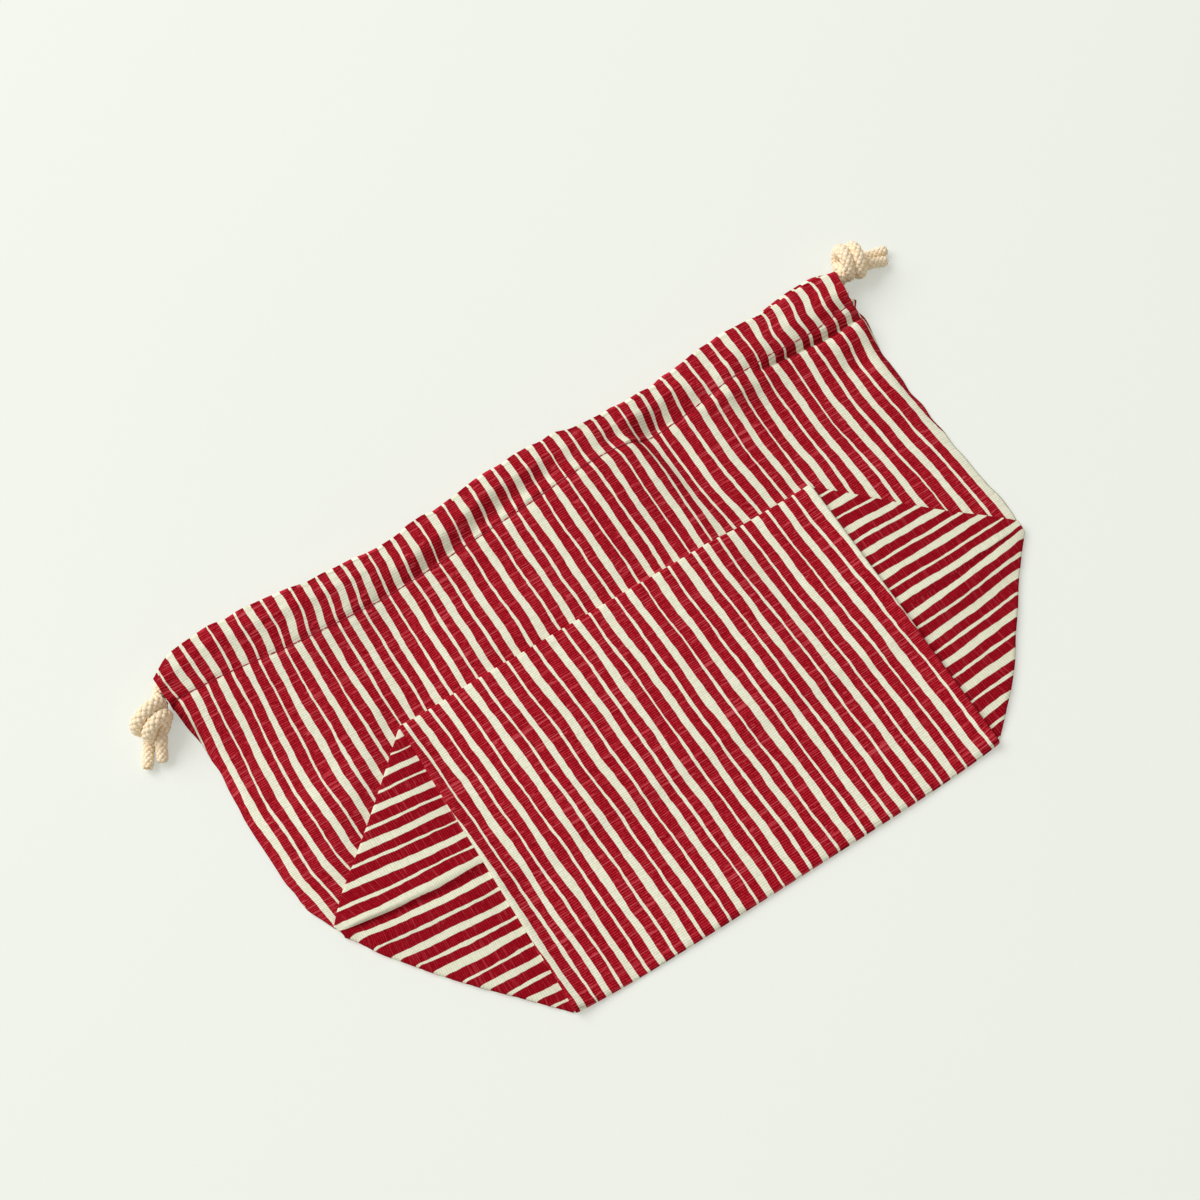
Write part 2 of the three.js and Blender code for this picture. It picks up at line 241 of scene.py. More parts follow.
class Sheet:
    """Places nodes in a node tree, and links them as they are placed."""

    def __init__(self, tree):
        self.tree = tree
        self.tree.nodes.clear()

    def put(self, kind, inputs=(), **settings):
        """A node with its settings, whose inputs are sockets to link or plain values."""
        node = self.tree.nodes.new(kind)
        for key, value in settings.items():
            setattr(node, key, value)
        for key, value in dict(inputs).items():
            self.feed(node.inputs[key], value)
        return node

    def feed(self, socket, value):
        if isinstance(value, bpy.types.NodeSocket):
            self.tree.links.new(value, socket)
        else:
            socket.default_value = value

    def maths(self, operation, *values):
        node = self.put("ShaderNodeMath", operation=operation)
        for i, value in enumerate(values):
            self.feed(node.inputs[i], value)
        return node.outputs[0]

    def ramp(self, value, low, high, to_low=0.0, to_high=1.0):
        """A value carried from one span to another, held at the ends."""
        node = self.put("ShaderNodeMapRange", {
            "Value": value, "From Min": low, "From Max": high, "To Min": to_low, "To Max": to_high})
        return node.outputs["Result"]

    def mix(self, share, first, second):
        """A colour between two colours."""
        node = self.put("ShaderNodeMix", data_type="RGBA")
        self.feed(node.inputs[0], share)
        self.feed(node.inputs[6], first)
        self.feed(node.inputs[7], second)
        return node.outputs[2]

    def lumps(self, vector, scale, place=(0.0, 0.0, 0.0), detail=0.0):
        """Soft noise from 0 to 1, with its own scale each way."""
        scaled = self.put(
            "ShaderNodeVectorMath", {0: vector, 1: scale, 2: place}, operation="MULTIPLY_ADD")
        noise = self.put("ShaderNodeTexNoise", {
            "Vector": scaled.outputs[0], "Scale": 1.0, "Detail": detail}, noise_dimensions="3D")
        return noise.outputs["Fac"]


def linear(hex_colour):
    """A colour written as six hex digits, as the linear values that nodes take."""
    channels = [int(hex_colour[i : i + 2], 16) / 255 for i in (0, 2, 4)]
    return [c / 12.92 if c <= 0.04045 else ((c + 0.055) / 1.055) ** 2.4 for c in channels]


def rgba(colour):
    return (*colour, 1.0)


def surface(name, roughness, specular):
    """A material with its Principled shader, ready for a colour and a bump."""
    material = bpy.data.materials.new(name)
    material.use_nodes = True
    sheet = Sheet(material.node_tree)
    shader = sheet.put("ShaderNodeBsdfPrincipled", {
        "Roughness": roughness, "Specular IOR Level": specular})
    sheet.put("ShaderNodeOutputMaterial", {"Surface": shader.outputs[0]})
    return material, sheet, shader


def dress(sheet, shader, colour, height, strength, distance):
    """Gives a surface its colour and its fine relief."""
    sheet.feed(shader.inputs["Base Color"], colour)
    bump = sheet.put("ShaderNodeBump", {"Height": height, "Strength": strength, "Distance": distance})
    sheet.feed(shader.inputs["Normal"], bump.outputs[0])


def striped_cotton(style):
    """Slub cotton with hand-drawn stripes that run along the cloth, and ribs that run across it."""
    material, sheet, shader = surface("striped_cotton", 0.95, 0.03)
    uv = sheet.put("ShaderNodeUVMap", uv_map="cloth").outputs[0]
    scaled = sheet.put("ShaderNodeVectorMath", {0: uv, 1: (1 / MM, 1 / MM, 0.0)}, operation="MULTIPLY")
    place = scaled.outputs[0]
    parts = sheet.put("ShaderNodeSeparateXYZ", {0: place})
    across, along = parts.outputs[0], parts.outputs[1]

    def wobble(scale, at, amount, detail=0.0):
        lump = sheet.lumps(place, scale, at, detail)
        return sheet.maths("MULTIPLY", sheet.maths("SUBTRACT", lump, 0.5), amount)

    # Where a point lies between two wide stripes
    drift = wobble((0.022, 0.014, 0), (3.1, 7.7, 0.0), 1.6)
    sway = wobble((0.15, 0.055, 0), (11.0, 2.3, 1.0), 1.3)
    nick = wobble((0.5, 0.22, 0), (5.0, 1.0, 2.0), 0.65, 1.0)
    thread = wobble((0.35, 2.2, 0), (0.0, 0.0, 3.0), 0.14)
    moved = sheet.maths("MULTIPLY", along, -style.stripe_lean)
    for move in (across, drift, sway, nick, thread):
        moved = sheet.maths("ADD", moved, move)
    pitch = style.stripe_pitch / MM
    shifted = sheet.maths("SUBTRACT", moved, style.stripe_shift / MM)
    from_wide = sheet.maths("ABSOLUTE", sheet.maths("WRAP", shifted, pitch / 2, -pitch / 2))
    from_narrow = sheet.maths("SUBTRACT", pitch / 2, from_wide)
    swell = wobble((0.1, 0.035, 0), (2.0, 9.0, 4.0), 0.8)

    def stripe(distance, width):
        edge = sheet.maths("ADD", distance, swell)
        half = width / MM / 2
        return sheet.ramp(edge, half - 0.08, half + 0.08, 1.0, 0.0)

    cream_share = sheet.maths(
        "MAXIMUM", stripe(from_wide, style.wide_stripe), stripe(from_narrow, style.narrow_stripe))

    # Ribs, uneven yarns, slubs and mottling; the ribs also go into the colour as painted highlight on their
    # tops and painted shade in their hollows
    turns = sheet.maths("MULTIPLY", along, math.tau / (style.rib / MM))
    bent = sheet.maths("ADD", turns, wobble((0.05, 0.03, 0), (1.0, 1.0, 5.0), 14.0))
    rib = sheet.ramp(sheet.maths("SINE", bent), -1.0, 1.0)
    tone = sheet.maths("MULTIPLY", sheet.maths("SUBTRACT", rib, 0.5), 0.4)
    long_yarn = wobble((0.018, 1.2, 0), (0.0, 0.0, 6.0), 0.3)
    short_yarn = wobble((1.5, 1.2, 0), (0.0, 4.0, 6.5), 0.7, 1.0)
    for part in (long_yarn, short_yarn, 0.5):
        tone = sheet.maths("ADD", tone, part)
    long_slub = sheet.ramp(sheet.lumps(place, (0.03, 1.35, 0), (4.0, 0.0, 7.0)), 0.68, 0.71)
    short_slub = sheet.ramp(sheet.lumps(place, (0.14, 1.35, 0), (9.0, 3.0, 8.0)), 0.71, 0.74)
    slubs = sheet.maths("MAXIMUM", long_slub, short_slub)
    mottle = sheet.lumps(place, (0.9, 0.9, 0), (0.0, 0.0, 9.0), 3.0)

    # Painted shade: the corner triangles are darkened and show less of the pale yarns, standing in for their
    # ribs running the other way and catching less light
    turned_shade = sheet.put("ShaderNodeAttribute", attribute_name="turned").outputs["Fac"]
    lit_share = sheet.ramp(turned_shade, 0.0, 1.0, 1.0, 0.4)
    red = sheet.mix(sheet.ramp(mottle, 0.3, 0.7), rgba(style.dye_dark_and_shade), rgba(style.dye))
    red = sheet.mix(sheet.maths("MULTIPLY", turned_shade, 0.45), red, rgba(style.dye_dark_and_shade))
    pale_yarn_and_highlight = sheet.ramp(tone, 0.44, 0.74)
    red = sheet.mix(sheet.maths("MULTIPLY", pale_yarn_and_highlight, lit_share), red, rgba(style.dye_pale_and_highlight))
    thick_yarn = sheet.maths("MULTIPLY", slubs, 0.75)
    red = sheet.mix(sheet.maths("MULTIPLY", thick_yarn, lit_share), red, rgba(style.dye_slub))
    # Cream: painted shade in the rib hollows and on the corner triangles, mixed with the yarns' own uneven
    # tone
    pale = sheet.maths("MULTIPLY", sheet.ramp(tone, 0.28, 0.68), sheet.ramp(turned_shade, 0.0, 1.0, 1.0, 0.7))
    cream = sheet.mix(pale, rgba(style.cream_dark_and_shade), rgba(style.cream))
    weave = sheet.lumps(place, (2.2, 0.7, 0), (0.0, 0.0, 10.0), 2.0)
    height = sheet.maths("ADD", sheet.maths("MULTIPLY", rib, 0.6), sheet.maths("MULTIPLY", weave, 0.5))
    height = sheet.maths("ADD", height, sheet.maths("MULTIPLY", slubs, 0.7))
    dress(sheet, shader, sheet.mix(cream_share, red, cream), height, 0.6, 0.12 * MM)
    return material


def braided_cotton(style):
    """Ecru cotton yarn, with fine fibres and painted shade between the strands."""
    material, sheet, shader = surface("braided_cotton", 0.95, 0.1)
    place = sheet.put("ShaderNodeTexCoord").outputs["Object"]
    depth = sheet.put("ShaderNodeAttribute", attribute_name="depth").outputs["Fac"]
    mottle = sheet.lumps(place, (420, 420, 420), (0.0, 0.0, 0.0), 2.0)
    fibres = sheet.lumps(place, (1900, 1900, 1900), (3.0, 0.0, 0.0), 2.0)
    ecru = sheet.mix(sheet.ramp(mottle, 0.3, 0.7), rgba(style.ecru_dark), rgba(style.ecru))
    # Painted shade between the strands: the shade colour where the depth is low
    ecru = sheet.mix(sheet.ramp(depth, 0.2, 0.9), rgba(style.ecru_painted_shade), ecru)
    height = sheet.maths("ADD", fibres, sheet.maths("MULTIPLY", mottle, 0.5))
    dress(sheet, shader, ecru, height, 0.6, 0.15 * MM)
    return material


def sewing_thread(style):
    """Dark red sewing thread with a fine twist."""
    material, sheet, shader = surface("sewing_thread", 0.7, 0.2)
    place = sheet.put("ShaderNodeTexCoord").outputs["Object"]
    twist = sheet.lumps(place, (2600, 900, 2600), (0.0, 0.0, 0.0), 1.0)
    colour = sheet.mix(sheet.ramp(twist, 0.3, 0.7), rgba(style.thread_dark), rgba(style.thread))
    dress(sheet, shader, colour, twist, 0.4, 0.1 * MM)
    return material


def column_places():
    """Places across the cloth, closer together at the side edges and at the base's two seams."""
    step = 2.1 * MM
    base = np.linspace(0, BASE_HALF - 4 * MM, round((BASE_HALF - 4 * MM) / step) + 1)
    seam = BASE_HALF + np.array([-2.6, -1.5, -0.7, -0.25, 0.0, 0.3, 0.8, 1.6, 2.8]) * MM
    side_start, side_end = BASE_HALF + 4.5 * MM, HALF - 3 * MM
    side = np.linspace(side_start, side_end, round((side_end - side_start) / step) + 1)
    edge = HALF + np.array([-1.8, -1.0, -0.4, 0.0]) * MM
    right = np.concatenate([base, seam, side, edge])
    return np.concatenate([-right[:0:-1], right])


def steps(count):
    """Even steps from 0 to 1, one to a row."""
    return np.linspace(0, 1, count)[:, None]


class Cloth:
    """The folded cloth as rows of points, from the front hem round to the back hem."""

    def __init__(self, style):
        self.s = column_places()
        self.size = np.abs(self.s)
        outside = np.clip(self.size - BASE_HALF, 0, None) / (HALF - BASE_HALF)
        self.reach = CREASE - outside * (CREASE - 2.5 * MM)
        wave = HEIGHT + through(MOUTH_WAVE, self.s)
        ripple = 0.75 * uneven(self.s, 0 * self.s, 6 * MM, 3) + 0.55 * uneven(self.s, 0 * self.s, 15 * MM, 4)
        self.mouth = wave - 0.7 * MM + np.maximum(ripple, -0.45) * MM
        self.stitch = HEIGHT + through(STITCH_WAVE, self.s) - style.casing
        self.back_mouth = wave + through(BACK_MOUTH_PEEK, self.s)
        self.bands = {}
        self.y, self.z, self.v = [], [], []
        self.build_rows()
        self.y, self.z, self.v = (np.concatenate(rows) for rows in (self.y, self.z, self.v))
        self.place_points()

    def band(self, name, y, z, v):
        """Adds rows of points, one row for each step along the cloth."""
        shape = np.broadcast_shapes(np.shape(y), np.shape(z), np.shape(v), (1, len(self.s)))
        start = sum(len(rows) for rows in self.y)
        self.bands[name] = slice(start, start + shape[0])
        for rows, values in ((self.y, y), (self.z, z), (self.v, v)):
            rows.append(np.broadcast_to(values, shape).copy())

    def fold(self, name, edge, low, high, side, count, v):
        """Half a turn between two heights, bulging to one side as far as an edge."""
        angle = np.linspace(-math.pi / 2, math.pi / 2, count + 2)[1:-1, None]
        radius = (high - low) / 2
        y = edge - side * np.abs(radius) * (1 - np.cos(angle))
        self.band(name, y, (low + high) / 2 + radius * np.sin(angle), v)

    def tuck_line(self, y):
        """Where the front panel's tuck runs, from the casing's stitch down to the flap."""
        below = np.clip(HEIGHT - 19 * MM - y, 0, None)
        return 43 * MM + 9.5 * MM * (1 - np.exp(-below / (22 * MM)))

    def swell(self, x, y):
        """Air under the middle of the front and the flap, which ends at the tuck."""
        left = soft((x + 82 * MM) / (26 * MM))
        width = 14 * MM + 0.3 * np.clip(GUSSET - y, 0, None)
        right = 1 - soft((x - self.tuck_line(y)) / width + 0.55)
        return 2.3 * MM * left * right * soft((y - 15 * MM) / (110 * MM))

    def casing_crease(self, x, y):
        """Height of the folds just under the casing's stitch: a lip at the right, steps elsewhere."""
        below = np.clip(self.stitch - y, 0, None)
        lip_depth = 2.2 * MM + 2.4 * MM * soft((x - 118 * MM) / (22 * MM))
        lip = 4.4 * (1 - np.clip(below / lip_depth, 0, 1) ** 2.2)
        past = 2.2 * soft((below - lip_depth) / (2.6 * MM)) * np.exp(-below / (16 * MM))
        dip = 0.9 * bell(below - lip_depth, 1.2 * MM)
        crease = soft((x - 92 * MM) / (18 * MM)) * (lip + past - dip)
        crease += 2.4 * bell(x + 82 * MM, 24 * MM) * np.exp(-below / (6 * MM))
        step = np.clip(166 * MM - 0.1 * (x - 80 * MM) - y, 0, None)
        return crease + 5.0 * bell(x - 86 * MM, 16 * MM) * np.exp(-step / (6.5 * MM))

    def front_relief(self, x, y):
        """Height of the front panel above the layers under it, where it shows."""
        corner = (y + np.abs(x) - GUSSET - BASE_HALF) / math.sqrt(2)
        from_flap = np.where(np.abs(x) < BASE_HALF, y - GUSSET, corner)
        share = np.clip((y - GUSSET) / (self.stitch - GUSSET), 0, 1)
        at_stitch = 2.0 * bell(x - 19 * MM, 23 * MM) + 3.9 * bell(x + 140 * MM, 34 * MM) + 2.7
        at_stitch += 1.2 * bell(x - 88 * MM, 24 * MM) + 1.1 * bell(x - 60 * MM, 14 * MM)
        height = at_stitch * share**1.2
        tuck = x - self.tuck_line(y)
        crest = np.exp(-np.clip(-tuck, 0, None) / (26 * MM)) * (1 - soft(tuck / (4.6 * MM) + 0.6))
        height += 2.5 * crest * soft((share - 0.25) / 0.5)
        height -= 1.2 * bell(tuck - 5 * MM, 9 * MM) * share
        height -= 0.6 * bell(tuck - 7 * MM, 5 * MM) * bell(y - 156 * MM, 7 * MM)
        height -= 1.3 * np.exp(-np.abs(x + 70 * MM) / (8 * MM)) * soft(share * 2)
        for bump, at_x, reach_x, at_y, reach_y in PANEL_BUMPS:
            across = bell(x - at_x * MM, reach_x * MM)
            height += bump * across * bell(y - at_y * MM, reach_y * MM)
        height += self.casing_crease(x, y)
        height += 0.35 * (1 + uneven(x, y, 26 * MM, 11)) + 0.1 * (1 + uneven(x, y, 9 * MM, 12))
        return np.clip(height, 0, None) * MM * soft(from_flap / (10 * MM)) + self.swell(x, y)

    def flap_height(self, x, y):
        """Height of the turned-up flap: the base, its two raised seams and the corner triangles."""
        size = np.abs(x)
        lower = np.clip((CREASE - y) / self.reach, 0, 1)
        drop = 0.75 * soft((CREASE - 6 * MM - y) / (9 * MM)) + 0.85 * lower**1.5
        base = 0.6 + 2.0 * np.exp(-np.clip(BASE_HALF - size, 0, None) / (4 * MM))
        rounded = np.clip((size - BASE_HALF + 1.4 * MM) / (1.4 * MM), 0, 1)
        base = base - 0.6 * (1 - np.sqrt(1 - rounded**2))
        base = base - 0.7 * np.exp(-np.abs(x + 66 * MM + 0.03 * (y - CREASE)) / (7 * MM))
        base = base - 0.35 * np.exp(-np.abs(x - 60 * MM + 0.03 * (y - CREASE)) / (6 * MM))
        base = base + 0.22 * (1 + uneven(x, y, 24 * MM, 21)) + 0.07 * uneven(x, y, 8 * MM, 22)
        side = np.where(x < 0, 1.0, 0.3)
        triangle = 0.8 * soft((size - BASE_HALF) / (10 * MM)) * soft((HALF - size) / (14 * MM))
        over = soft((y - CREASE + 0.9 * MM) / (1.8 * MM))
        ridge = 1.7 * over * np.exp(-np.abs(y - CREASE) / (7 * MM))
        hollow = 1.2 * (1 - over) * np.exp(-np.abs(y - CREASE) / (5 * MM))
        triangle = triangle + (ridge - hollow) * side * soft((HALF - size) / (10 * MM))
        triangle = triangle + 0.15 * (1 + uneven(x, y, 15 * MM, 23))
        height = np.where(size <= BASE_HALF, base, triangle) - drop
        return np.maximum(FLAP + height * MM, FRONT) + self.swell(x, y)

    def casing_outside(self, share, y, foot, crown):
        """Height of the front casing's outside, from its crown at the mouth to its foot at the stitch."""
        s = self.s
        left, right = soft((-50 * MM - s) / (30 * MM)), soft((s - 62 * MM) / (30 * MM))
        end = 0.7 + 0.22 * soft((-10 * MM - s) / (40 * MM)) + 0.22 * soft((s - 32 * MM) / (25 * MM))
        spread = 0.42 + 0.2 * soft((s - 32 * MM) / (25 * MM))
        middle = soft((end - share) / spread) + 0.2 * bell(share - end - 0.16, 0.13) * (1 - share**8)
        puff = middle * (1 - left - right) + np.clip((1 - share) / 0.7, 0, 1) * left
        puff += (1 - np.clip((share - 0.5) / 0.5, 0, 1) ** 2) * right
        pucker = uneven(s, 0.45 * y, 7 * MM, 5) + 0.5 * uneven(s, y, 4.5 * MM, 6)
        pucker = pucker * MM * (0.75 * (1 - 0.5 * left) + 0.8 * bell(s - 56 * MM, 18 * MM))
        return foot + (crown - foot) * puff + pucker * np.sin(math.pi * share**1.3)

    def build_rows(self):
        """Every band of the cloth in turn."""
        s, crown = self.s, FRONT_TUNNEL + TURN

        # Front hem and inner layer, up to the mouth
        y = (self.stitch - HEM) + steps(12) * (self.mouth - TURN - self.stitch + HEM)
        inner = UNDER_FLAP + self.swell(s, self.stitch) * 0.5
        z = inner + (FRONT_TUNNEL - TURN - inner) * soft((y - self.stitch - 1.5 * MM) / (7 * MM))
        self.band("front_hem", y, z, y - self.mouth)
        self.fold("front_mouth", self.mouth, FRONT_TUNNEL - TURN, crown, 1, 9, 0 * s)

        # Outside of the front casing, down to its stitch and over the panel to the hidden crease
        share = steps(24)
        y = self.mouth - TURN - share * (self.mouth - TURN - self.stitch)
        z = self.casing_outside(share, y, FRONT + self.front_relief(s, self.stitch), crown)
        sag = 1.2 * MM * (1 - soft((s - 62 * MM) / (30 * MM)))
        y = y - sag * np.sin(math.pi * share**3) ** 2
        self.band("front_casing", y, z, HEIGHT - y)
        y = self.stitch - steps(PANEL_ROWS)[1:] ** CLOSER_AT_STITCH * (self.stitch - CREASE)
        ridge = 0.5 * MM * (1 - bell(y - self.stitch, 1.6 * MM)) * bell(y - self.stitch, 9 * MM)
        self.band("front_panel", y, FRONT + self.front_relief(s, y) + ridge, HEIGHT - y)
        y = CREASE + steps(10) * (self.reach - 0.6 * MM)
        y[0] = CREASE - 0.4 * MM
        z = np.where(steps(10) == 0, (FRONT + UNDER_FLAP) / 2, UNDER_FLAP) + self.swell(s, y)
        self.band("under_flap", y, z, HEIGHT - GUSSET + y)

        # The flap, from its top fold to the bottom fold
        flap_edge, bottom_edge = CREASE + self.reach, CREASE - self.reach
        low, high = UNDER_FLAP + self.swell(s, flap_edge), self.flap_height(s, flap_edge)
        self.fold("flap_top", flap_edge, low, high, 1, 4, HEIGHT - GUSSET + flap_edge)
        y = CREASE + np.linspace(1, -1, 67)[:, None] * (self.reach - 0.5 * MM)
        self.band("flap", y, self.flap_height(s, y), HEIGHT + GUSSET - y)
        self.fold("bottom", bottom_edge, self.flap_height(s, bottom_edge), BACK, -1, 4, HEIGHT + GUSSET)

        # The back panel, its casing and its hem
        y = bottom_edge + steps(18)[1:-1] * self.reach
        self.band("back_low", y, BACK, HEIGHT + GUSSET + y)
        y = self.stitch - steps(PANEL_ROWS)[::-1] ** CLOSER_AT_STITCH * (self.stitch - CREASE)
        lift = 0.5 * MM * bell(y - self.stitch, 5 * MM)
        self.band("back_panel", y, BACK + lift, HEIGHT + GUSSET + y)
        y = self.stitch + steps(10)[1:] * (self.back_mouth - TURN - self.stitch)
        lift = 0.5 * MM * bell(y - self.stitch, 5 * MM)
        self.band("back_casing", y, BACK + lift, HEIGHT + GUSSET + y)
        self.fold("back_mouth", self.back_mouth, BACK, BACK_TUNNEL + TURN, 1, 7, 2 * HEIGHT + GUSSET)
        y = self.back_mouth - TURN - steps(12) * (self.back_mouth - TURN - self.stitch + HEM)
        z = FRONT + 0.5 * MM + (BACK_TUNNEL + TURN - FRONT) * soft((y - self.stitch - 2.5 * MM) / (6 * MM))
        self.band("back_hem", y, z, 2 * HEIGHT + GUSSET + self.mouth - y)

    def settle(self, x, y):
        """Where the points of the laid cloth lie: uneven side edges, moved corners, a bowed bottom."""
        inner = BASE_HALF - 2 * MM - 48 * MM * soft((y - 110 * MM) / (40 * MM))
        edge = np.where(y < CREASE, BASE_HALF + y, HALF)
        pull = np.clip((np.abs(x) - inner) / np.maximum(edge - inner, 8 * MM), 0, 1) ** 1.6
        left = x < 0
        dx = np.where(left, through(LEFT_EDGE_ACROSS, y), through(RIGHT_EDGE_ACROSS, y)) * pull
        dy = np.where(left, through(LEFT_EDGE_UP, y), through(RIGHT_EDGE_UP, y)) * pull
        dx = dx + 0.6 * MM * uneven(0.3 * np.sign(x), y, 7 * MM, 31) * pull**2
        notch = 1.5 * MM * bell(y - 176.4 * MM, 1.2 * MM) * soft((x - 138 * MM) / (11 * MM))
        bow = np.clip(1 - (x / (BASE_HALF + 8 * MM)) ** 4, 0, 1) * np.clip(1 - y / (40 * MM), 0, 1) ** 2
        return x + dx - notch, y + dy - BOTTOM_BULGE * bow

    def place_points(self):
        """Tucks the base's seams under, closes the side seams and settles every point."""
        x = np.broadcast_to(self.s, self.y.shape).copy()
        tucked = np.isclose(self.size, BASE_HALF + 0.3 * MM)
        for name in ("flap_top", "flap", "bottom"):
            x[self.bands[name], tucked] -= np.sign(self.s[tucked]) * 1.9 * MM
        for name in ("front_hem", "back_casing", "back_mouth", "back_hem"):
            x[self.bands[name]] *= 1 - 1.8 * MM / HALF
        pinch = 1 - soft((HALF - self.size) / (3.5 * MM))
        for name in ("front_panel", "back_panel"):
            z, y = self.z[self.bands[name]], self.y[self.bands[name]]
            under_casing = np.where(self.s < 0, 0.25 + 0.75 * soft((self.stitch - y) / (14 * MM)), 1.0)
            z += pinch * under_casing * (FRONT - 0.2 * MM - z)
        self.flat_y = self.y
        self.x, self.y = self.settle(x, self.y)

    def across_cloth(self):
        """Every point's place across the cloth's own width, which its stripes follow."""
        casing = soft((self.flat_y - 165 * MM) / (12 * MM))
        front = through(CASING_GIVE, self.x) * casing + through(PANEL_GIVE, self.x) * (1 - casing)
        left = soft((-95 * MM - self.x) / (30 * MM)) * (1 - casing)
        front += PANEL_LEAN * left * (np.maximum(self.flat_y, 118 * MM) - 147 * MM)
        for give, from_middle in ((LEFT_SIDE_GIVE, -self.x - 8 * MM), (RIGHT_SIDE_GIVE, self.x)):
            side = soft((from_middle - 100 * MM) / (20 * MM)) * (1 - casing)
            front += through(give, self.y) * side
        slope = soft((self.x - 95 * MM) / (20 * MM)) * bell(self.flat_y - 178 * MM, 5 * MM)
        front -= 1.6 * MM * slope
        right = soft((self.x - 48 * MM) / (8 * MM)) * np.exp(-(self.x - 55 * MM) / (80 * MM))
        front += 2.4 * MM * right * (1 - soft((self.flat_y - GUSSET) / (26 * MM)))
        right_edge = soft((self.s - HALF + 3.2 * MM) / (2.6 * MM))
        front += 1.7 * MM * right_edge * (1 - soft((self.flat_y - 105 * MM) / (25 * MM)))
        place = self.x - front
        flap = slice(self.bands["flap_top"].start, self.bands["bottom"].stop)
        below = CREASE + 5 * MM - self.flat_y
        lean = FLAP_LEAN * (below + np.minimum(below, 12 * MM) * 1.3 * soft((-20 * MM - self.x) / (20 * MM)))
        place[flap] = (self.x - through(FLAP_GIVE, self.x) - lean)[flap]
        back = slice(self.bands["back_low"].start, None)
        place[back] = self.x[back]
        return place

    def mesh_data(self):
        """Points, faces with four corners, and each corner's place in the cloth."""
        row_count, col_count = self.y.shape
        index = np.arange(row_count * col_count).reshape(row_count, col_count)
        for col in (0, col_count - 1):
            back = index[self.bands["back_panel"], col]
            back[:-1] = index[self.bands["front_panel"], col][::-1]
        r, c = np.meshgrid(np.arange(row_count - 1), np.arange(col_count - 1), indexing="ij")
        rows = np.stack([r, r + 1, r + 1, r], -1).reshape(-1, 4)
        cols = np.stack([c, c, c + 1, c + 1], -1).reshape(-1, 4)
        u, v = self.across_cloth()[rows, cols], self.v[rows, cols]
        turned = self.turn_triangles(rows, cols, u, v)
        used, faces = np.unique(index[rows, cols], return_inverse=True)
        verts = np.stack([self.x, self.y - MIDDLE_Y, self.z], -1).reshape(-1, 3)[used]
        return verts, faces.reshape(-1, 4), np.stack([u, v], -1).reshape(-1, 2), turned

    def turn_triangles(self, rows, cols, u, v):
        """Corner triangles are the side walls turned a quarter round, so their stripes run across."""
        first, last = self.bands["flap_top"].start, self.bands["bottom"].start + 1
        in_flap = (rows.min(1) >= first) & (rows.max(1) <= last)
        turned = in_flap & (self.size[cols].min(1) > BASE_HALF)
        at_row, at_col = rows[turned], cols[turned]
        y, size = self.flat_y[at_row, at_col], self.size[at_col]
        from_seam = np.abs(y - CREASE)
        upper = y.mean(1, keepdims=True) > CREASE
        along_front = HEIGHT - CREASE + HALF - size
        along_back = HEIGHT + GUSSET + CREASE - HALF + size
        left = self.s[at_col] < 0
        move = np.where(left, LEFT_CORNER_GIVE[0], RIGHT_CORNER_GIVE[0])
        lean = np.where(left, LEFT_CORNER_GIVE[1], RIGHT_CORNER_GIVE[1])
        lean = lean * np.where(left, soft(from_seam / (22 * MM)), 1.0)
        give = np.where(upper, move + lean * (size - BASE_HALF - 8 * MM), 0)
        u[turned] = np.sign(self.s[at_col]) * (SIDE_LINE - from_seam + give)
        v[turned] = np.where(upper, along_front, along_back)
        return turned

    def stitch_line(self, name, row, lift):
        """The points of one row of a band, lifted off the cloth."""
        at = np.arange(len(self.y))[self.bands[name]][row]
        line = np.stack([self.x[at], self.y[at] - MIDDLE_Y, self.z[at] + lift], -1)
        return line[np.abs(self.s) < HALF - 2 * MM]


def make_cloth(style):
    """The pouch's one folded cloth."""
    verts, faces, uv, turned = Cloth(style).mesh_data()
    piece = new_object("striped_cloth", verts, faces, striped_cotton(style))
    layer = piece.data.uv_layers.new(name="cloth")
    layer.data.foreach_set("uv", uv.astype(np.float32).ravel())
    # Which faces are the turned corner triangles, which the cotton darkens with painted shade
    turn = piece.data.attributes.new("turned", "FLOAT", "FACE")
    turn.data.foreach_set("value", turned.astype(np.float32))
    thick = piece.modifiers.new("thickness", "SOLIDIFY")
    thick.thickness = style.cloth
    thick.offset = 0.0
    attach(piece, "root")
    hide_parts("pouch_cloth")


